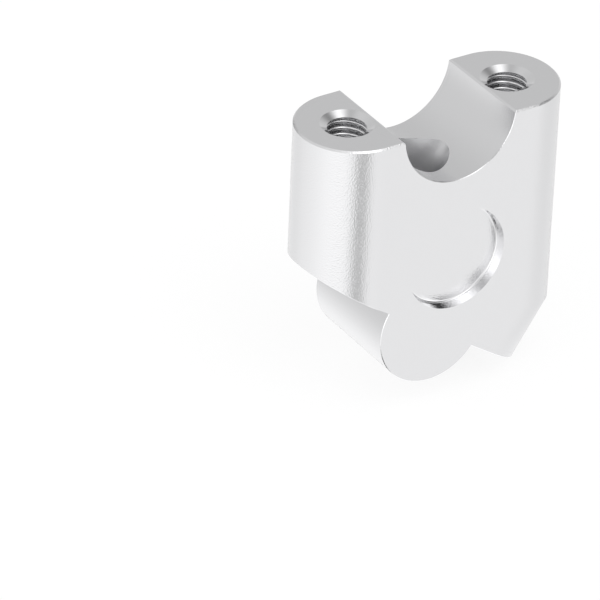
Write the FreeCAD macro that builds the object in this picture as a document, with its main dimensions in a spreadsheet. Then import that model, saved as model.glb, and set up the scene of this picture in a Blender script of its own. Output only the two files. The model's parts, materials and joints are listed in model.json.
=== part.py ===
"""Handlebar riser block: one piece, milled from aluminium bar.

The origin is the centre of the handlebar's axis in the cradle. +X points to the column that
carries on down into the leg, +Y from the front face to the back face, and +Z up, out of the cradle.
Lengths are in millimetres and angles in degrees.
"""
import FreeCAD, Part
import math
import os
import Sketcher

# Every size that can be set by itself: name, value and what it is.
SIZES = (
    ("bar_diameter", 22.2, "handlebar that the cradle holds"),
    ("land_drop", 0.8, "top lands below the handlebar's axis, so that a cap can pinch the bar"),
    ("overall_width", 50.5, "over the two round ends"),
    ("thickness", 20.7, "front face to back face, and the diameter of the round ends"),
    ("clamp_spacing", 32.5, "between the two tapped holes for the cap's screws"),
    ("clamp_tap_depth", 9.0, "full depth of a tapped hole"),
    ("clamp_sink_diameter", 9.5, "mouth of the countersink over a tapped hole"),
    ("clamp_sink_angle", 120.0, "included angle of that countersink"),
    ("base_tilt", 33.5, "slope of the base: the leg's side lies lower"),
    ("base_drop", 35.6, "base plane from the handlebar's axis, square to the base"),
    ("base_shift", 18.7, "false bar's axis from the handlebar's axis, along the base"),
    ("false_bar_diameter", 21.1, "half round that sits in the lower clamp"),
    ("false_bar_gap", 0.6, "false bar's axis above the base plane"),
    ("leg_reach", 26.55, "leg's outer side from the false bar's axis, along the base"),
    ("bolt_spacing", 32.5, "between the two bolts that hold the block down"),
    ("bolt_hole_diameter", 8.5, "clearance hole for such a bolt"),
    ("bolt_head_diameter", 13.3, "counterbore for a bolt's head"),
    ("bolt_grip", 16.1, "metal between the base plane and the seat of a bolt's head"),
    ("recess_diameter", 19.5, "rim of the round recess in each flat face"),
    ("recess_depth", 1.9, "depth of that recess"),
    ("recess_across", 0.55, "recess's centre beside the handlebar's axis"),
    ("recess_drop", 26.85, "recess's centre below the handlebar's axis"),
    ("recess_draft", 7.0, "slope of the recess's wall, which narrows towards the floor"),
    ("recess_corner", 0.4, "radius round the recess's floor"),
    ("land_break", 0.3, "chamfer round each top land"),
    ("edge_break", 0.1, "chamfer that breaks the other outer edges"),
)
THREAD_SIZE = "M8x1.25"
NODE = "riser_block"
HALF_TURN = 180

# How much of a small ring round an edge is metal: a quarter on a square corner, half on a smooth seam.
RING_RADIUS = 0.05
RING_POINTS = 72
SHARP_SHARE = 0.375
SAME_LENGTH = 1e-4

# A sketch's numbers for the points of a line or arc, and for its own axes and origin.
START, END, CENTRE = range(1, 4)
AXIS_X, AXIS_Y = range(-1, -3, -1)
ORIGIN = (AXIS_X, START)


def vector(x, y):
    return FreeCAD.Vector(x, y, 0)


def make_sheet(doc):
    """The table of sizes, one row each, with the value's name as its cell's alias."""
    sheet = doc.addObject("Spreadsheet::Sheet", "sizes")
    for row, (name, value, meaning) in enumerate(SIZES, start=1):
        sheet.set("A%d" % row, name)
        sheet.set("B%d" % row, str(value))
        sheet.set("C%d" % row, meaning)
        sheet.setAlias("B%d" % row, name)
    doc.recompute()
    return sheet


def origin_plane(body, role):
    for feature in body.Origin.OriginFeatures:
        if feature.Role == role:
            return feature
    raise RuntimeError("no origin plane " + role)


def new_sketch(body, name, role):
    sketch = body.newObject("Sketcher::SketchObject", name)
    sketch.AttachmentSupport = [(origin_plane(body, role), "")]
    sketch.MapMode = "FlatFace"
    return sketch


def tilted_sketch(body, name, depth="0", along="0"):
    """A sketch parallel to the base, its x down the slope.

    Its origin lies below the handlebar's axis by depth, square to the base, and further on by along.
    """
    sketch = new_sketch(body, name, "XY_Plane")
    sketch.AttachmentOffset = FreeCAD.Placement(vector(0, 0), FreeCAD.Rotation(FreeCAD.Vector(0, 1, 0), 1))
    rise = "sin(sizes.base_tilt * 1 deg)"
    run = "cos(sizes.base_tilt * 1 deg)"
    sketch.setExpression("AttachmentOffset.Rotation.Angle", "sizes.base_tilt")
    sketch.setExpression("AttachmentOffset.Base.x", "(%s) * %s - (%s) * %s" % (along, run, depth, rise))
    sketch.setExpression("AttachmentOffset.Base.z", "-(%s) * %s - (%s) * %s" % (along, rise, depth, run))
    return sketch


def constrain(sketch, kind, *items, size=None, name=None):
    """One constraint. With a size, items end with a first value and the size is the sheet's expression."""
    number = sketch.addConstraint(Sketcher.Constraint(kind, *items))
    if size:
        sketch.renameConstraint(number, name)
        sketch.setExpression("Constraints." + name, size)


def add_polygon(sketch, corners):
    """Closed chain of lines through the corners."""
    lines = []
    for index, corner in enumerate(corners):
        following = corners[(index + 1) % len(corners)]
        lines.append(sketch.addGeometry(Part.LineSegment(vector(*corner), vector(*following)), False))
    for index, line in enumerate(lines):
        constrain(sketch, "Coincident", line, END, lines[(index + 1) % len(lines)], START)
    return lines


def add_circle(sketch, x, y, radius):
    return sketch.addGeometry(Part.Circle(vector(x, y), FreeCAD.Vector(0, 0, 1), radius), False)


def block_profile(body, size):
    """Front view of the block without cradle or false bar: a column whose right side kinks into the leg."""
    sketch = new_sketch(body, "BlockProfile", "XZ_Plane")
    half_width = size["overall_width"] / 2
    tilt = math.radians(size["base_tilt"])
    leg_side = size["base_shift"] + size["leg_reach"]
    drop = size["base_drop"]
    kink_depth = (leg_side * math.cos(tilt) - half_width) / math.sin(tilt)
    left_along = (drop * math.sin(tilt) - half_width) / math.cos(tilt)
    top_left = (-half_width, -size["land_drop"])
    top_right = (half_width, -size["land_drop"])
    kink = (half_width, -leg_side * math.sin(tilt) - kink_depth * math.cos(tilt))
    leg_corner = (leg_side * math.cos(tilt) - drop * math.sin(tilt),
                  -leg_side * math.sin(tilt) - drop * math.cos(tilt))
    left_corner = (-half_width, -left_along * math.sin(tilt) - drop * math.cos(tilt))
    top, right, leg, base, left = add_polygon(sketch, (top_left, top_right, kink, leg_corner, left_corner))
    constrain(sketch, "Vertical", right)
    constrain(sketch, "Vertical", left)
    constrain(sketch, "Symmetric", top, START, top, END, AXIS_Y)
    constrain(sketch, "Perpendicular", leg, base)
    constrain(sketch, "DistanceX", top, START, top, END, 2 * half_width,
              size="sizes.overall_width", name="width")
    constrain(sketch, "DistanceY", top, START, *ORIGIN, size["land_drop"],
              size="sizes.land_drop", name="drop")
    constrain(sketch, "Angle", base, math.pi - tilt,
              size="(180 - sizes.base_tilt) * 1 deg", name="slope")
    constrain(sketch, "Distance", *ORIGIN, base, drop, size="sizes.base_drop", name="base")
    constrain(sketch, "Distance", *ORIGIN, leg, leg_side,
              size="sizes.base_shift + sizes.leg_reach", name="leg")
    return sketch


def false_bar_profile(body, size):
    """Half of a short round bar with broken end edges, cut along its axis. The axis is the sketch's y axis."""
    sketch = tilted_sketch(body, "FalseBarProfile", "sizes.base_drop - sizes.false_bar_gap",
                           "sizes.base_shift")
    radius = size["false_bar_diameter"] / 2
    half = size["thickness"] / 2
    flat = radius - size["edge_break"]
    tall = half - size["edge_break"]
    front, front_break, outer, back_break, back, axis = add_polygon(
        sketch, ((0, -half), (flat, -half), (radius, -tall), (radius, tall), (flat, half), (0, half)))
    constrain(sketch, "Horizontal", front)
    constrain(sketch, "Horizontal", back)
    constrain(sketch, "Equal", front, back)
    constrain(sketch, "PointOnObject", front, START, AXIS_Y)
    constrain(sketch, "Symmetric", front, START, back, END, AXIS_X)
    constrain(sketch, "Symmetric", outer, START, outer, END, AXIS_X)
    constrain(sketch, "DistanceY", axis, END, axis, START, 2 * half, size="sizes.thickness", name="tall")
    constrain(sketch, "DistanceY", outer, START, outer, END, 2 * tall,
              size="sizes.thickness - 2 * sizes.edge_break", name="wall")
    constrain(sketch, "DistanceX", *ORIGIN, outer, START, radius,
              size="sizes.false_bar_diameter / 2", name="radius")
    constrain(sketch, "DistanceX", front, START, front, END, flat,
              size="sizes.false_bar_diameter / 2 - sizes.edge_break", name="flat")
    return sketch


def round_end_profile(sketch, side, centre_at, centre_size, size):
    """The metal outside a half-round end, a box less a half circle. side is +1 or -1 along x."""
    radius = size["thickness"] / 2
    centre = side * centre_at
    outer = centre + side * 2 * radius
    low = (centre, -radius)
    high = (centre, radius)
    first = sketch.addGeometry(Part.LineSegment(vector(*high), vector(outer, radius)), False)
    second = sketch.addGeometry(Part.LineSegment(vector(outer, radius), vector(outer, -radius)), False)
    third = sketch.addGeometry(Part.LineSegment(vector(outer, -radius), vector(*low)), False)
    middle = (centre + side * radius, 0)
    arc = sketch.addGeometry(Part.Arc(vector(*low), vector(*middle), vector(*high)), False)
    low_end, high_end = (START, END) if side > 0 else (END, START)
    constrain(sketch, "Coincident", first, END, second, START)
    constrain(sketch, "Coincident", second, END, third, START)
    constrain(sketch, "Tangent", third, END, arc, low_end)
    constrain(sketch, "Tangent", arc, high_end, first, START)
    constrain(sketch, "Horizontal", first)
    constrain(sketch, "Vertical", second)
    constrain(sketch, "PointOnObject", arc, CENTRE, AXIS_X)
    constrain(sketch, "Diameter", arc, 2 * radius, size="sizes.thickness", name="round")
    nearer, further = ((ORIGIN, (arc, CENTRE)) if side > 0 else ((arc, CENTRE), ORIGIN))
    constrain(sketch, "DistanceX", *nearer, *further, centre_at, size=centre_size, name="centre")
    constrain(sketch, "DistanceY", second, END, second, START, 2 * radius,
              size="sizes.thickness", name="tall")
    constrain(sketch, "Distance", first, START, first, END, 2 * radius,
              size="sizes.thickness", name="deep")
    return sketch


def pair_of_circles(sketch, spacing, middle, diameter, sheet_spacing, sheet_middle, sheet_diameter):
    """Two circles of one size on the sketch's x axis, either side of a middle given from the origin."""
    first = add_circle(sketch, middle - spacing / 2, 0, diameter / 2)
    second = add_circle(sketch, middle + spacing / 2, 0, diameter / 2)
    constrain(sketch, "PointOnObject", first, CENTRE, AXIS_X)
    constrain(sketch, "PointOnObject", second, CENTRE, AXIS_X)
    constrain(sketch, "Equal", first, second)
    constrain(sketch, "Diameter", first, diameter, size=sheet_diameter, name="round")
    constrain(sketch, "DistanceX", first, CENTRE, second, CENTRE, spacing,
              size=sheet_spacing, name="spacing")
    constrain(sketch, "DistanceX", *ORIGIN, second, CENTRE, middle + spacing / 2,
              size="%s + %s / 2" % (sheet_middle, sheet_spacing), name="place")
    return sketch


def add_pocket(body, name, profile, sides, reverse=False, depth=None):
    """A cut through everything, or as deep as the sheet says. It has to take metal away."""
    before = body.Tip.Shape.Volume
    pocket = body.newObject("PartDesign::Pocket", name)
    pocket.Profile = profile
    pocket.SideType = sides
    pocket.Reversed = reverse
    if depth:
        pocket.Type = "Length"
        pocket.setExpression("Length", depth)
    else:
        pocket.Type = "ThroughAll"
    body.Document.recompute()
    if pocket.Shape.Volume >= before:
        raise RuntimeError(name + " cuts nothing")
    return pocket


def metal_share(shape, edge):
    """How much of a small ring round the middle of an edge lies in metal."""
    at = (edge.FirstParameter + edge.LastParameter) / 2
    middle = edge.valueAt(at)
    turn = FreeCAD.Rotation(FreeCAD.Vector(0, 0, 1), edge.tangentAt(at))
    inside = 0
    for step in range(RING_POINTS):
        angle = 2 * math.pi * step / RING_POINTS
        offset = turn.multVec(vector(RING_RADIUS * math.cos(angle), RING_RADIUS * math.sin(angle)))
        inside += shape.isInside(middle + offset, SAME_LENGTH, False)
    return inside / RING_POINTS


def sharp_edges(shape, low, high):
    """Names of the outer edges with their middle between two heights, but no seam, inner corner or kink."""
    names = []
    for number, edge in enumerate(shape.Edges, start=1):
        middle = edge.valueAt((edge.FirstParameter + edge.LastParameter) / 2)
        if low < middle.z < high and metal_share(shape, edge) < SHARP_SHARE:
            names.append("Edge%d" % number)
    return names


def circles_at(shape, radius, distance):
    """Names of the whole circles of one radius that lie at one distance from the middle of the thickness."""
    names = []
    for number, edge in enumerate(shape.Edges, start=1):
        curve = edge.Curve
        if isinstance(curve, Part.Circle) and abs(curve.Radius - radius) < SAME_LENGTH:
            if abs(abs(curve.Center.y) - distance) < SAME_LENGTH:
                names.append("Edge%d" % number)
    return names


def shape_block(body, size):
    """The block's outside without its false bar: profile, the three round ends and the cradle."""
    pad = body.newObject("PartDesign::Pad", "Block")
    pad.Profile = block_profile(body, size)
    pad.SideType = "Symmetric"
    pad.setExpression("Length", "sizes.thickness")
    body.Document.recompute()
    upright_centre = (size["overall_width"] - size["thickness"]) / 2
    leg_centre = size["base_shift"] + size["leg_reach"] - size["thickness"] / 2
    for name, side in (("LeftEnd", -1), ("RightEnd", 1)):
        sketch = new_sketch(body, name + "Profile", "XY_Plane")
        round_end_profile(sketch, side, upright_centre,
                          "(sizes.overall_width - sizes.thickness) / 2", size)
        add_pocket(body, name, sketch, "Symmetric")
    sketch = tilted_sketch(body, "LegEndProfile")
    round_end_profile(sketch, 1, leg_centre,
                      "sizes.base_shift + sizes.leg_reach - sizes.thickness / 2", size)
    add_pocket(body, "LegEnd", sketch, "Symmetric")
    sketch = new_sketch(body, "CradleProfile", "XZ_Plane")
    circle = add_circle(sketch, 0, 0, size["bar_diameter"] / 2)
    constrain(sketch, "Coincident", circle, CENTRE, *ORIGIN)
    constrain(sketch, "Diameter", circle, size["bar_diameter"], size="sizes.bar_diameter", name="round")
    add_pocket(body, "Cradle", sketch, "Symmetric")


def add_chamfer(body, name, edges, size):
    """A 45 degree chamfer along edges of what the body is so far."""
    blank = body.Tip
    chamfer = body.newObject("PartDesign::Chamfer", name)
    chamfer.Base = (blank, edges)
    chamfer.setExpression("Size", size)
    body.Document.recompute()


def break_edges(body, size):
    """Chamfer round each top land, then a finer one along every sharp outer edge below them."""
    level = -size["land_drop"]
    below = level - 2 * size["land_break"]
    depth = 2 * (size["base_drop"] + size["overall_width"])
    add_chamfer(body, "LandBreak", sharp_edges(body.Tip.Shape, below, 0), "sizes.land_break")
    add_chamfer(body, "EdgeBreak", sharp_edges(body.Tip.Shape, -depth, below), "sizes.edge_break")


def add_false_bar(body, size):
    """The half round under the base. Its flat lies a little inside the block, so the two are one piece."""
    profile = false_bar_profile(body, size)
    bar = body.newObject("PartDesign::Revolution", "FalseBar")
    bar.Profile = profile
    bar.ReferenceAxis = (profile, ["V_Axis"])
    bar.Angle = HALF_TURN
    body.Document.recompute()


def bore_base_bolts(body, size):
    """Counterbores that come in from above along the slope of the bolts, and the clearance holes under them."""
    seat = "sizes.base_drop - sizes.bolt_grip"
    for name, diameter, reverse in (("BoltHeads", "bolt_head_diameter", True),
                                    ("BoltHoles", "bolt_hole_diameter", False)):
        sketch = tilted_sketch(body, name + "Profile", seat)
        pair_of_circles(sketch, size["bolt_spacing"], size["base_shift"], size[diameter],
                        "sizes.bolt_spacing", "sizes.base_shift", "sizes." + diameter)
        add_pocket(body, name, sketch, "One side", reverse=reverse)


def cut_recesses(body, size):
    """Shallow round recess in the front face and its mirror image in the back face."""
    radius = size["recess_diameter"] / 2
    half = size["thickness"] / 2
    sketch = new_sketch(body, "RecessProfile", "XZ_Plane")
    sketch.setExpression("AttachmentOffset.Base.z", "sizes.thickness / 2")
    circle = add_circle(sketch, size["recess_across"], -size["recess_drop"], radius)
    constrain(sketch, "Diameter", circle, 2 * radius, size="sizes.recess_diameter", name="round")
    constrain(sketch, "DistanceX", *ORIGIN, circle, CENTRE, size["recess_across"],
              size="sizes.recess_across", name="across")
    constrain(sketch, "DistanceY", circle, CENTRE, *ORIGIN, size["recess_drop"],
              size="sizes.recess_drop", name="drop")
    recess = add_pocket(body, "Recess", sketch, "One side", depth="sizes.recess_depth")
    recess.setExpression("TaperAngle", "-sizes.recess_draft")
    mirror = body.newObject("PartDesign::Mirrored", "BackRecess")
    mirror.Originals = [recess]
    mirror.MirrorPlane = (origin_plane(body, "XZ_Plane"), [""])
    body.Tip = mirror
    body.Document.recompute()
    floor_radius = radius - size["recess_depth"] * math.tan(math.radians(size["recess_draft"]))
    corner = body.newObject("PartDesign::Fillet", "RecessCorner")
    corner.Base = (mirror, circles_at(mirror.Shape, floor_radius, half - size["recess_depth"]))
    corner.setExpression("Radius", "sizes.recess_corner")
    body.Document.recompute()


def tap_clamp_holes(body, size):
    """The two tapped and countersunk holes that take the cap's screws."""
    sketch = new_sketch(body, "ClampHoleProfile", "XY_Plane")
    sketch.setExpression("AttachmentOffset.Base.z", "-sizes.land_drop")
    pair_of_circles(sketch, size["clamp_spacing"], 0, size["clamp_sink_diameter"] / 2,
                    "sizes.clamp_spacing", "0", "sizes.clamp_sink_diameter / 2")
    body.Document.recompute()
    hole = body.newObject("PartDesign::Hole", "ClampHoles")
    hole.Profile = sketch
    body.Document.recompute()
    hole.ThreadType = "ISOMetricProfile"
    hole.ThreadSize = THREAD_SIZE
    hole.Threaded = True
    hole.ModelThread = False
    hole.DepthType = "Dimension"
    hole.setExpression("Depth", "sizes.clamp_tap_depth")
    hole.DrillPoint = "Angled"
    hole.HoleCutType = "Countersink"
    hole.HoleCutCustomValues = True
    hole.setExpression("HoleCutDiameter", "sizes.clamp_sink_diameter")
    hole.setExpression("HoleCutCountersinkAngle", "sizes.clamp_sink_angle * 1 deg")
    body.Document.recompute()
    return hole


def check_document(doc):
    """Stops if any feature failed or a body has no sound solid."""
    for item in doc.Objects:
        if "Invalid" in item.State or "Error" in item.State:
            raise RuntimeError("%s failed: %s" % (item.Name, item.State))
    for item in doc.Objects:
        if item.TypeId == "PartDesign::Body":
            if item.Shape.isNull() or not item.Shape.isValid() or len(item.Shape.Solids) != 1:
                raise RuntimeError("%s is not one sound solid" % item.Label)


def make_riser_block(doc, size):
    body = doc.addObject("PartDesign::Body", NODE)
    body.Label = NODE
    body.Placement = FreeCAD.Placement()
    shape_block(body, size)
    break_edges(body, size)
    add_false_bar(body, size)
    bore_base_bolts(body, size)
    cut_recesses(body, size)
    tap_clamp_holes(body, size)
    return body


def main():
    doc = FreeCAD.newDocument("handlebar_riser")
    size = {name: value for name, value, meaning in SIZES}
    make_sheet(doc)
    block = make_riser_block(doc, size)
    doc.recompute()
    check_document(doc)
    os.makedirs("parts", exist_ok=True)
    block.Shape.exportStep("parts/%s.step" % block.Label)
    box = block.Shape.optimalBoundingBox(False)
    print("volume mm3 %.1f" % block.Shape.Volume)
    print("box X %.2f %.2f Y %.2f %.2f" % (box.XMin, box.XMax, box.YMin, box.YMax))
    print("box Z %.2f %.2f" % (box.ZMin, box.ZMax))


main()
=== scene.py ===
"""Handlebar riser block with cut threads, blasted aluminium skin and a plain studio.

Lengths are in metres, and the frame is the solid's own: the origin is the centre of the
handlebar's axis in the cradle, +X points to the column with the leg, +Y from front to back, +Z up.
"""
import json
import math

import bpy
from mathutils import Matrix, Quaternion, Vector


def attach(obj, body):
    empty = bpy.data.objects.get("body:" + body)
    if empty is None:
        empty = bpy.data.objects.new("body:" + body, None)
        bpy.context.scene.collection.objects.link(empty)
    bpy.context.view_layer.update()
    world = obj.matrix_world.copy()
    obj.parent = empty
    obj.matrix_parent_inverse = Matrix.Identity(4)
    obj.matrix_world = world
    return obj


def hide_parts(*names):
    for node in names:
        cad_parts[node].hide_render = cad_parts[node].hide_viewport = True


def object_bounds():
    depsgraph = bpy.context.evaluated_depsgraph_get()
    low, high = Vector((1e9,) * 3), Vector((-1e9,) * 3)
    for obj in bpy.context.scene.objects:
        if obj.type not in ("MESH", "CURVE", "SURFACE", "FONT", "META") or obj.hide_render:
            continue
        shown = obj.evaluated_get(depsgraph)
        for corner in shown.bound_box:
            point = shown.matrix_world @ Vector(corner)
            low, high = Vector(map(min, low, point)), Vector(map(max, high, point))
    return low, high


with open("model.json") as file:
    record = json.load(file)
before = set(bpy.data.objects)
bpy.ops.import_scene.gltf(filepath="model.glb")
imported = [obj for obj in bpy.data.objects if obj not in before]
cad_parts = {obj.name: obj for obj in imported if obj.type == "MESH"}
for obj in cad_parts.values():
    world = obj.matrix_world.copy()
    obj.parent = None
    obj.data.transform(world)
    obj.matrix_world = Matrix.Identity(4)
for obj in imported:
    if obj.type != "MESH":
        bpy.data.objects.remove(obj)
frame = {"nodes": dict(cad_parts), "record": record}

bl_info = {
    "name": "Handlebar riser block",
    "version": (1, 0, 0),
    "blender": (4, 5, 0),
    "location": "View3D > Sidebar > Riser",
    "description": "Dresses the milled riser block: threads, metal finish and studio",
    "category": "Object",
}

MM = 0.001
NODE = "riser_block"
CAD_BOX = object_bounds()

# Where the tapped holes and the bolts stand, from the record's mounts.
MOUNTS = {mount["name"]: mount for mount in frame["record"]["mounts"]}
BOLT_MOUNTS = ("base_bolt_left", "base_bolt_right")

# Each tapped hole's mount, and how far below the land its first groove is.
THREAD_STARTS = {"clamp_screw_left": 0.08 * MM, "clamp_screw_right": 0.02 * MM}

# Between a side of the thread and the hole's axis, in degrees.
FLANK_ANGLE = 60

# How many turns below its start the thread has its full depth, and over how many it gets there.
ENTRY_TURNS = 1.6
ENTRY_EASING = 0.7

# How far the thread's cutter reaches into the empty bore.
CUTTER_REACH = 0.1 * MM

# Sizes of the solid that no mount states. The recess's centre is across and up, its floor is from
# the block's middle plane, and the countersink's angle is in degrees.
SINK_RADIUS = 4.75 * MM
SINK_ANGLE = 120
HEAD_RADIUS = 6.65 * MM
RECESS_RADIUS = 9.75 * MM
RECESS_CENTRE = (0.55 * MM, -26.85 * MM)
RECESS_FLOOR = 8.45 * MM

# How near a face lies to the surface that it is part of: to most of them, to the cradle and the
# countersink's rim, and to a land.
SLACK = 0.05 * MM
RIM_SLACK = 0.025 * MM
LAND_SLACK = 0.005 * MM

# Cosine between a face's normal and a direction: less than the first on a wall along it, more than
# the second on a seat across it, and less than the third on anything but a flat across it.
WALL_COSINE = 0.02
SEAT_COSINE = 0.999
FLAT_COSINE = 0.9999

# Points nearer to each other than this are merged.
SEAM = 1e-7

# Faces that meet at more degrees than this keep a sharp edge. A land and its countersink meet at 30.
SHARP_ANGLE = 25

# The camera's place and turn, its lens and sensor in millimetres, and how near and far it sees.
CAMERA_PLACE = (-0.482648, -0.699891, 0.48501)
CAMERA_TURN = (0.842171, 0.463203, -0.148501, -0.232679)
CAMERA_LENS = 345.38
CAMERA_SENSOR = 36
CAMERA_NEAR = 0.05
CAMERA_FAR = 20

# Straight sides of the round floor.
FLOOR_SIDES = 96

# Patches of light round the object: heading and height in degrees, strength and tightness.
# A negative strength is a gap between the softboxes.
LIGHT_PATCHES = (
    (200, 15, 1.32, 12.6),
    (231, 8, 0.54, 1.2),
    (273, 57, 1.11, 14.6),
    (94, -80, 0.65, 1.9),
    (256, -20, -0.48, 42),
    (256, -38, -0.48, 42),
    (323, 16, -1.6, 25),
    (108, -4, -0.6, 21.7),
    (215, -65, -1.61, 25),
    (4, 46, -0.38, 17.8),
    (330, 74, 0.97, 25),
    (316, 1, 1.31, 24),
    (189, 21, -0.97, 17.2),
    (298, 82, -0.68, 18),
    (75, 34, -0.03, 8),
    (235, 35, -0.9, 22),
)


class RiserBlockSizes(bpy.types.PropertyGroup):
    """Sizes of what is cut into the solid block."""

    thread_pitch: bpy.props.FloatProperty(
        name="Thread pitch", description="Rise of the thread in one turn",
        default=1.25 * MM, min=0.2 * MM, unit="LENGTH", precision=5)
    thread_diameter: bpy.props.FloatProperty(
        name="Thread diameter", description="Across the bottoms of the thread's grooves",
        default=8.1 * MM, min=MM, unit="LENGTH", precision=5)
    thread_root: bpy.props.FloatProperty(
        name="Groove bottom", description="Width of the flat at the bottom of the thread's groove",
        default=0.14 * MM, min=0.0, unit="LENGTH", precision=5)
    entry_depth: bpy.props.FloatProperty(
        name="Entry depth", description="Share of its full depth that the groove has in its first turn",
        default=0.45, min=0.0, max=1.0, subtype="FACTOR")
    thread_turns: bpy.props.IntProperty(
        name="Thread turns", description="Whole turns that the tap cut", default=6, min=1)
    turn_steps: bpy.props.IntProperty(
        name="Steps in a turn", description="Straight pieces in one turn of the thread", default=72, min=12)
    crest_steps: bpy.props.IntProperty(
        name="Steps over a crest", description="Straight pieces in one side of a thread's rounded crest",
        default=5, min=1)


class MetalFinish(bpy.types.PropertyGroup):
    """Colour and grain of the bare metal."""

    colour: bpy.props.FloatVectorProperty(
        name="Aluminium", description="Colour of the bare aluminium",
        subtype="COLOR", size=3, min=0.0, max=1.0, default=(0.8, 0.8, 0.81))
    skin_roughness: bpy.props.FloatProperty(
        name="Blasted roughness", description="Roughness of the blasted skin between its dimples",
        default=0.13, min=0.0, max=1.0, subtype="FACTOR")
    seat_roughness: bpy.props.FloatProperty(
        name="Seat roughness", description="Roughness of the seat that the handlebar lies in",
        default=0.22, min=0.0, max=1.0, subtype="FACTOR")
    bore_roughness: bpy.props.FloatProperty(
        name="Bored roughness", description="Roughness of the screws' pockets",
        default=0.32, min=0.0, max=1.0, subtype="FACTOR")
    thread_roughness: bpy.props.FloatProperty(
        name="Thread roughness", description="Roughness of the tapped threads",
        default=0.2, min=0.0, max=1.0, subtype="FACTOR")
    cut_roughness: bpy.props.FloatProperty(
        name="Cut roughness", description="Roughness of the countersinks and the recesses' walls",
        default=0.12, min=0.0, max=1.0, subtype="FACTOR")
    grain: bpy.props.FloatProperty(
        name="Grain", description="Size of one dimple that a bead leaves",
        default=0.27 * MM, min=0.01 * MM, unit="LENGTH", precision=5)
    grain_depth: bpy.props.FloatProperty(
        name="Grain depth", description="Depth of such a dimple",
        default=0.053 * MM, min=0.0, unit="LENGTH", precision=6)
    mark_spacing: bpy.props.FloatProperty(
        name="Tool mark spacing", description="From one ring that a tool left to the next",
        default=0.22 * MM, min=0.01 * MM, unit="LENGTH", precision=5)
    mark_depth: bpy.props.FloatProperty(
        name="Tool mark depth", description="Depth of such a ring",
        default=0.012 * MM, min=0.0, unit="LENGTH", precision=6)


class StudioSettings(bpy.types.PropertyGroup):
    """Floor and light."""

    floor_radius: bpy.props.FloatProperty(
        name="Floor radius", description="Radius of the pale floor", default=1.5, min=0.1, unit="LENGTH")
    floor_colour: bpy.props.FloatVectorProperty(
        name="Floor colour", description="Colour of the floor in the light that it throws back",
        subtype="COLOR", size=3, min=0.0, max=1.0, default=(0.9, 0.9, 0.9))
    floor_roughness: bpy.props.FloatProperty(
        name="Floor roughness", description="Roughness of the floor", default=0.8, min=0.0, max=1.0,
        subtype="FACTOR")
    floor_white: bpy.props.FloatProperty(
        name="Floor white", description="The floor's own white, so that it comes out white where it is lit",
        default=1.1, min=0.0)
    room_level: bpy.props.FloatProperty(
        name="Room level", description="Light from every side, before the softboxes", default=0.55, min=0.0)
    shadow_share: bpy.props.FloatProperty(
        name="Shadow", description="How much of the floor's shade shows", default=0.25, min=0.0, max=1.0,
        subtype="FACTOR")


def select_only(obj):
    """Selects one object and makes it the active one."""
    bpy.ops.object.select_all(action="DESELECT")
    obj.select_set(True)
    bpy.context.view_layer.objects.active = obj


def riser_object(name):
    """A new object with its own merged copy of the solid's mesh."""
    obj = bpy.data.objects.new(name, frame["nodes"][NODE].data.copy())
    bpy.context.scene.collection.objects.link(obj)
    select_only(obj)
    bpy.ops.object.mode_set(mode="EDIT")
    bpy.ops.mesh.select_all(action="SELECT")
    bpy.ops.mesh.customdata_custom_splitnormals_clear()
    bpy.ops.mesh.remove_doubles(threshold=SEAM)
    bpy.ops.object.mode_set(mode="OBJECT")
    return obj


def groove_profile(sizes, bore):
    """Outline of the cutter across the groove: distance from the hole's axis and height.

    The straight sides roll over into the crests, which just reach the bore.
    """
    outer = sizes.thread_diameter / 2
    half_root = sizes.thread_root / 2
    half_pitch = sizes.thread_pitch / 2
    flank = math.radians(FLANK_ANGLE)
    apex = outer - (half_pitch - half_root) * math.tan(flank)
    rounding = bore - apex
    side = [(outer, half_root)]
    for step in range(sizes.crest_steps + 1):
        turn = flank * (1 - step / (sizes.crest_steps + 1))
        side.append((bore + rounding * (1 - math.cos(turn)), half_pitch - rounding * math.sin(turn)))
    side.append((bore - CUTTER_REACH, side[-1][1]))
    return side + [(across, -up) for across, up in reversed(side)]


def ease_entry(cutter, sizes, bore, low):
    """Makes the groove shallow in its first turn, with its lower side left where it is."""
    outer = sizes.thread_diameter / 2
    slope = math.tan(math.radians(FLANK_ANGLE))
    for vertex in cutter.data.vertices:
        x, y, z = vertex.co
        radius = max(math.hypot(x, y), bore)
        angle = math.atan2(y, x) / (2 * math.pi) % 1
        rise = (z - low) / sizes.thread_pitch
        turn = round(rise - angle) + angle
        from_end = sizes.thread_turns - turn
        fade = min(max((ENTRY_TURNS - from_end) / ENTRY_EASING, 0), 1)
        lost = fade * (1 - sizes.entry_depth)
        shrunk = radius - lost * (radius - bore)
        above = radius - bore if rise < turn else 2 * outer - bore - radius
        vertex.co = (x * shrunk / radius, y * shrunk / radius, z - lost * above / slope)


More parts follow.
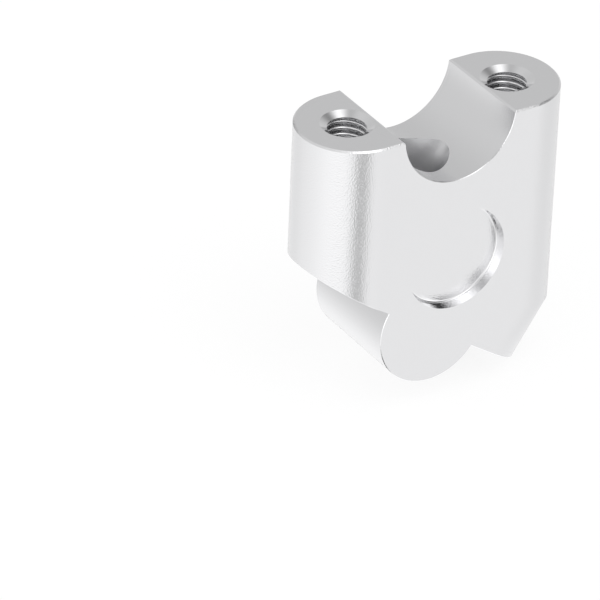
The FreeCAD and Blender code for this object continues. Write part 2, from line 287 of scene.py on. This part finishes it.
def thread_cutter(sizes, mouth, bore, start):
    """Closed helical ridge whose outer part cuts the groove. The mouth is the middle of the hole's rim."""
    profile = groove_profile(sizes, bore)
    low = -(start + sizes.thread_turns * sizes.thread_pitch)
    bpy.ops.object.select_all(action="DESELECT")
    bpy.ops.mesh.primitive_circle_add(
        vertices=len(profile), radius=bore, fill_type="NOTHING", location=(0, 0, 0))
    cutter = bpy.context.object
    cutter.name = "thread_cutter"
    for vertex, (across, up) in zip(cutter.data.vertices, profile):
        vertex.co = (across, 0, low + up)
    screw = cutter.modifiers.new("Turns", "SCREW")
    screw.axis = "Z"
    screw.angle = 2 * math.pi
    screw.screw_offset = sizes.thread_pitch
    screw.iterations = sizes.thread_turns
    screw.steps = sizes.turn_steps
    screw.render_steps = sizes.turn_steps
    bpy.ops.object.modifier_apply(modifier=screw.name)
    ease_entry(cutter, sizes, bore, low)
    bpy.ops.object.mode_set(mode="EDIT")
    bpy.ops.mesh.select_all(action="SELECT")
    bpy.ops.mesh.remove_doubles(threshold=SEAM)
    bpy.ops.mesh.select_all(action="SELECT")
    bpy.ops.mesh.fill_holes(sides=0)
    bpy.ops.mesh.select_all(action="SELECT")
    bpy.ops.mesh.normals_make_consistent(inside=False)
    bpy.ops.transform.translate(value=mouth)
    bpy.ops.object.mode_set(mode="OBJECT")
    return cutter


def cut_with(obj, cutter):
    """Takes the cutter out of the object and deletes it."""
    select_only(obj)
    cut = obj.modifiers.new("Cut", "BOOLEAN")
    cut.operation = "DIFFERENCE"
    cut.solver = "EXACT"
    cut.object = cutter
    bpy.ops.object.modifier_apply(modifier=cut.name)
    bpy.data.objects.remove(cutter)


def cut_threads(block, sizes):
    """Taps both of the holes over the cradle."""
    for name, start in THREAD_STARTS.items():
        across, along, _ = MOUNTS[name]["pos_m"]
        mouth = Vector((across, along, CAD_BOX[1][2]))
        bore = MOUNTS[name]["dims"]["r_mm"] * MM
        cut_with(block, thread_cutter(sizes, mouth, bore, start))


def smooth_rounds(block):
    """Shades the round faces smooth and leaves the flat ones flat."""
    select_only(block)
    bpy.ops.object.shade_smooth_by_angle(angle=math.radians(SHARP_ANGLE))
    weighted = block.modifiers.new("Flat faces stay flat", "WEIGHTED_NORMAL")
    weighted.keep_sharp = True
    bpy.ops.object.modifier_apply(modifier=weighted.name)


def node_group(name, inputs, outputs):
    """An empty shader group with float or vector sockets."""
    group = bpy.data.node_groups.new(name, "ShaderNodeTree")
    for label, kind in inputs:
        group.interface.new_socket(label, in_out="INPUT", socket_type=kind)
    for label, kind in outputs:
        group.interface.new_socket(label, in_out="OUTPUT", socket_type=kind)
    start = group.nodes.new("NodeGroupInput")
    end = group.nodes.new("NodeGroupOutput")
    return group, start, end


def bead_grain_group():
    """Soft round dimples, half and half with uneven pits as large as they are, as a height."""
    group, start, end = node_group(
        "bead_grain", [("Size", "NodeSocketFloat")], [("Height", "NodeSocketFloat")])
    nodes, links = group.nodes, group.links
    place = nodes.new("ShaderNodeTexCoord")
    per_metre = nodes.new("ShaderNodeMath")
    per_metre.operation = "DIVIDE"
    per_metre.inputs[0].default_value = 1
    links.new(start.outputs["Size"], per_metre.inputs[1])
    dimples = nodes.new("ShaderNodeTexVoronoi")
    dimples.feature = "SMOOTH_F1"
    dimples.inputs["Smoothness"].default_value = 0.6
    pits = nodes.new("ShaderNodeTexNoise")
    pits.inputs["Detail"].default_value = 2
    mix = nodes.new("ShaderNodeMix")
    mix.inputs["Factor"].default_value = 0.5
    for texture in (dimples, pits):
        links.new(place.outputs["Object"], texture.inputs["Vector"])
        links.new(per_metre.outputs["Value"], texture.inputs["Scale"])
    links.new(dimples.outputs["Distance"], mix.inputs["A"])
    links.new(pits.outputs["Fac"], mix.inputs["B"])
    links.new(mix.outputs["Result"], end.inputs["Height"])
    return group


def tool_marks_group():
    """Parallel marks, square to a direction, as a height from 0 to 1."""
    group, start, end = node_group(
        "tool_marks", [("Direction", "NodeSocketVector"), ("Spacing", "NodeSocketFloat")],
        [("Height", "NodeSocketFloat")])
    nodes, links = group.nodes, group.links
    place = nodes.new("ShaderNodeTexCoord")
    along = nodes.new("ShaderNodeVectorMath")
    along.operation = "DOT_PRODUCT"
    count = nodes.new("ShaderNodeMath")
    count.operation = "DIVIDE"
    marks = nodes.new("ShaderNodeTexNoise")
    marks.noise_dimensions = "1D"
    marks.inputs["Scale"].default_value = 1
    marks.inputs["Detail"].default_value = 1
    links.new(place.outputs["Object"], along.inputs[0])
    links.new(start.outputs["Direction"], along.inputs[1])
    links.new(along.outputs["Value"], count.inputs[0])
    links.new(start.outputs["Spacing"], count.inputs[1])
    links.new(count.outputs["Value"], marks.inputs["W"])
    links.new(marks.outputs["Fac"], end.inputs["Height"])
    return group


def add_group(nodes, group, **values):
    """One use of a group, with its values."""
    node = nodes.new("ShaderNodeGroup")
    node.node_tree = group
    for name, value in values.items():
        node.inputs[name].default_value = value
    return node


def aluminium(name, finish, groups, roughness, grain_share, mark_share, direction):
    """Bare aluminium. The shares say how much it shows of the beads' grain and of the tool's rings.

    The rings lie square to the direction.
    """
    material = bpy.data.materials.new(name)
    material.use_nodes = True
    nodes = material.node_tree.nodes
    links = material.node_tree.links
    shader = nodes["Principled BSDF"]
    shader.inputs["Base Color"].default_value = (*finish.colour, 1)
    shader.inputs["Metallic"].default_value = 1
    shader.inputs["Roughness"].default_value = roughness
    grain_group, marks_group = groups
    rings = {"Direction": direction, "Spacing": finish.mark_spacing}
    relief = (
        (grain_group, finish.grain_depth * grain_share, {"Size": finish.grain}),
        (marks_group, finish.mark_depth * mark_share, rings),
    )
    normal = None
    for group, depth, values in relief:
        if depth == 0:
            continue
        height = add_group(nodes, group, **values)
        bump = nodes.new("ShaderNodeBump")
        bump.inputs["Strength"].default_value = 1
        bump.inputs["Distance"].default_value = depth
        links.new(height.outputs["Height"], bump.inputs["Height"])
        if normal:
            links.new(normal, bump.inputs["Normal"])
        normal = bump.outputs["Normal"]
    if normal:
        links.new(normal, shader.inputs["Normal"])
    return material


def from_axis(point, mount):
    """How far a point lies from a mount's axis, and how far along it."""
    direction = Vector(mount["axis"])
    offset = point - Vector(mount["pos_m"])
    along = offset.dot(direction)
    return (offset - along * direction).length, along


def tapped_hole_kind(face, mount):
    """Finish of a face in a tapped hole: on its countersink or below it. None if it is elsewhere."""
    radius, _ = from_axis(face.center, mount)
    depth = CAD_BOX[1][2] - face.center.z
    if radius > SINK_RADIUS - RIM_SLACK or depth < LAND_SLACK:
        return None
    cone = (SINK_RADIUS - radius) / math.tan(math.radians(SINK_ANGLE / 2))
    return "sunk" if abs(depth - cone) < SLACK else "tapped"


def in_bolt_hole(face, mount):
    """Whether a face is on the wall of a bolt's hole or pocket, or on the seat of its head."""
    radius, along = from_axis(face.center, mount)
    lean = abs(face.normal.dot(Vector(mount["axis"])))
    half = mount["dims"]["length_mm"] * MM / 2
    wall = lean < WALL_COSINE and radius < HEAD_RADIUS + SLACK and along > -half
    seat = lean > SEAT_COSINE and radius < HEAD_RADIUS and abs(along - half) < SLACK
    return wall or seat


def in_cradle(face):
    """Whether a face is on the seat that the handlebar lies in."""
    mount = MOUNTS["bar_cradle"]
    radius, _ = from_axis(face.center, mount)
    return abs(radius - mount["dims"]["r_mm"] * MM) < RIM_SLACK


def in_recess_wall(face):
    """Whether a face is on the wall of a round recess or on the corner round its floor."""
    radius = (face.center.xz - Vector(RECESS_CENTRE)).length
    slanted = abs(face.normal.y) < FLAT_COSINE
    return slanted and radius < RECESS_RADIUS + SLACK and abs(face.center.y) > RECESS_FLOOR - SLACK


def surface_kind(face):
    """Which of the finishes a face has."""
    for name in THREAD_STARTS:
        kind = tapped_hole_kind(face, MOUNTS[name])
        if kind:
            return kind
    if any(in_bolt_hole(face, MOUNTS[name]) for name in BOLT_MOUNTS):
        return "bored"
    if in_cradle(face):
        return "seat"
    return "recess" if in_recess_wall(face) else "blasted"


def finishes(finish):
    """The block's materials by the kind of surface."""
    groups = (bead_grain_group(), tool_marks_group())
    up = (0, 0, 1)
    # Kind of surface, roughness, shares of grain and of rings, and the direction square to the rings.
    table = (
        ("blasted", finish.skin_roughness, 1, 0, up),
        ("seat", finish.seat_roughness, 0.3, 0, up),
        ("sunk", finish.cut_roughness, 0, 0.25, up),
        ("tapped", finish.thread_roughness, 0, 0, up),
        ("bored", finish.bore_roughness, 0.3, 0.25, MOUNTS[BOLT_MOUNTS[0]]["axis"]),
        ("recess", finish.cut_roughness, 0, 0.5, (0, 1, 0)),
    )
    return {kind: aluminium(kind + "_aluminium", finish, groups, *values) for kind, *values in table}


def give_finishes(block, finish):
    """Gives each face the material of its kind of surface."""
    materials = finishes(finish)
    block.data.materials.clear()
    for material in materials.values():
        block.data.materials.append(material)
    kinds = list(materials)
    for face in block.data.polygons:
        face.material_index = kinds.index(surface_kind(face))


class AddRiserBlock(bpy.types.Operator):
    """Cut the threads into the solid block and give it its metal"""

    bl_idname = "object.riser_block_add"
    bl_label = "Riser block"

    def execute(self, context):
        block = riser_object("riser_block_machined")
        cut_threads(block, context.scene.riser_sizes)
        smooth_rounds(block)
        give_finishes(block, context.scene.riser_finish)
        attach(block, "root")
        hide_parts(NODE)
        return {"FINISHED"}


def make_camera():
    """Long lens, from the front left and above."""
    data = bpy.data.cameras.new("camera")
    data.sensor_width = CAMERA_SENSOR
    data.lens = CAMERA_LENS
    data.clip_start = CAMERA_NEAR
    data.clip_end = CAMERA_FAR
    camera = bpy.data.objects.new("camera", data)
    bpy.context.scene.collection.objects.link(camera)
    camera.location = CAMERA_PLACE
    camera.rotation_mode = "QUATERNION"
    camera.rotation_quaternion = Quaternion(CAMERA_TURN)
    bpy.context.scene.camera = camera


def make_floor(settings):
    """Round floor under the block. The camera sees its own white and a share of its shade."""
    bpy.ops.object.select_all(action="DESELECT")
    bpy.ops.mesh.primitive_circle_add(
        vertices=FLOOR_SIDES, radius=settings.floor_radius, fill_type="NGON",
        location=(0, 0, CAD_BOX[0][2]))
    floor = bpy.context.object
    floor.name = "floor"
    bpy.ops.object.transform_apply(location=True)
    material = bpy.data.materials.new("white_floor")
    material.use_nodes = True
    nodes = material.node_tree.nodes
    links = material.node_tree.links
    shader = nodes["Principled BSDF"]
    shader.inputs["Base Color"].default_value = (*settings.floor_colour, 1)
    shader.inputs["Roughness"].default_value = settings.floor_roughness
    white = nodes.new("ShaderNodeEmission")
    white.inputs["Strength"].default_value = settings.floor_white
    rays = nodes.new("ShaderNodeLightPath")
    share = nodes.new("ShaderNodeMath")
    share.operation = "MULTIPLY"
    share.inputs[1].default_value = 1 - settings.shadow_share
    mix = nodes.new("ShaderNodeMixShader")
    links.new(rays.outputs["Is Camera Ray"], share.inputs[0])
    links.new(share.outputs["Value"], mix.inputs["Fac"])
    links.new(shader.outputs["BSDF"], mix.inputs[1])
    links.new(white.outputs["Emission"], mix.inputs[2])
    links.new(mix.outputs["Shader"], nodes["Material Output"].inputs["Surface"])
    floor.visible_glossy = False
    floor.data.materials.append(material)


def math_step(tree, operation, value, other):
    """One Math node on a value, and the value it gives."""
    node = tree.nodes.new("ShaderNodeMath")
    node.operation = operation
    tree.links.new(value, node.inputs[0])
    if isinstance(other, bpy.types.NodeSocket):
        tree.links.new(other, node.inputs[1])
    elif other is not None:
        node.inputs[1].default_value = other
    return node.outputs["Value"]


def light_patch_group():
    """How bright one round patch of light is in the direction that is looked at."""
    group, start, end = node_group(
        "light_patch",
        [("Towards", "NodeSocketVector"), ("Strength", "NodeSocketFloat"), ("Tightness", "NodeSocketFloat")],
        [("Light", "NodeSocketFloat")])
    nodes, links = group.nodes, group.links
    place = nodes.new("ShaderNodeTexCoord")
    facing = nodes.new("ShaderNodeVectorMath")
    facing.operation = "DOT_PRODUCT"
    links.new(place.outputs["Generated"], facing.inputs[0])
    links.new(start.outputs["Towards"], facing.inputs[1])
    value = facing.outputs["Value"]
    steps = (("SUBTRACT", 1), ("MULTIPLY", start.outputs["Tightness"]), ("EXPONENT", None),
             ("MULTIPLY", start.outputs["Strength"]))
    for operation, other in steps:
        value = math_step(group, operation, value, other)
    links.new(value, end.inputs["Light"])
    return group


def heading(across, up):
    """Direction from a heading and a height in degrees."""
    across, up = math.radians(across), math.radians(up)
    return (math.cos(up) * math.cos(across), math.cos(up) * math.sin(across), math.sin(up))


def light_world(settings):
    """White behind the object, and softboxes with gaps between them round it."""
    world = bpy.data.worlds.new("studio")
    bpy.context.scene.world = world
    world.use_nodes = True
    tree = world.node_tree
    nodes, links = tree.nodes, tree.links
    group = light_patch_group()
    total = settings.room_level
    for across, up, strength, tightness in LIGHT_PATCHES:
        patch = add_group(nodes, group, Towards=heading(across, up), Strength=strength, Tightness=tightness)
        total = math_step(tree, "ADD", patch.outputs["Light"], total)
    total = math_step(tree, "MAXIMUM", total, 0)
    room = nodes["Background"]
    links.new(total, room.inputs["Strength"])
    room.inputs["Color"].default_value = (1, 1, 1, 1)
    backdrop = nodes.new("ShaderNodeBackground")
    backdrop.inputs["Color"].default_value = (1, 1, 1, 1)
    rays = nodes.new("ShaderNodeLightPath")
    mix = nodes.new("ShaderNodeMixShader")
    links.new(rays.outputs["Is Camera Ray"], mix.inputs["Fac"])
    links.new(room.outputs["Background"], mix.inputs[1])
    links.new(backdrop.outputs["Background"], mix.inputs[2])
    links.new(mix.outputs["Shader"], nodes["World Output"].inputs["Surface"])


class SetRiserStage(bpy.types.Operator):
    """Lay the floor, light it and set the camera"""

    bl_idname = "scene.riser_stage_set"
    bl_label = "Studio"

    def execute(self, context):
        scene = context.scene
        scene.view_settings.view_transform = "Standard"
        make_floor(scene.riser_studio)
        light_world(scene.riser_studio)
        make_camera()
        return {"FINISHED"}


class RiserPanel(bpy.types.Panel):
    """Sizes, finish and studio in the sidebar"""

    bl_idname = "VIEW3D_PT_riser"
    bl_label = "Riser block"
    bl_space_type = "VIEW_3D"
    bl_region_type = "UI"
    bl_category = "Riser"

    def draw(self, context):
        layout = self.layout
        scene = context.scene
        for settings in (scene.riser_sizes, scene.riser_finish, scene.riser_studio):
            box = layout.box()
            for name in settings.__annotations__:
                box.prop(settings, name)
        layout.operator(AddRiserBlock.bl_idname)
        layout.operator(SetRiserStage.bl_idname)


CLASSES = (RiserBlockSizes, MetalFinish, StudioSettings, AddRiserBlock, SetRiserStage, RiserPanel)


def register():
    for entry in CLASSES:
        bpy.utils.register_class(entry)
    bpy.types.Scene.riser_sizes = bpy.props.PointerProperty(type=RiserBlockSizes)
    bpy.types.Scene.riser_finish = bpy.props.PointerProperty(type=MetalFinish)
    bpy.types.Scene.riser_studio = bpy.props.PointerProperty(type=StudioSettings)


def unregister():
    del bpy.types.Scene.riser_studio
    del bpy.types.Scene.riser_finish
    del bpy.types.Scene.riser_sizes
    for entry in reversed(CLASSES):
        bpy.utils.unregister_class(entry)


def main():
    register()
    bpy.ops.object.riser_block_add()
    bpy.ops.scene.riser_stage_set()


if __name__ == "__main__":
    main()
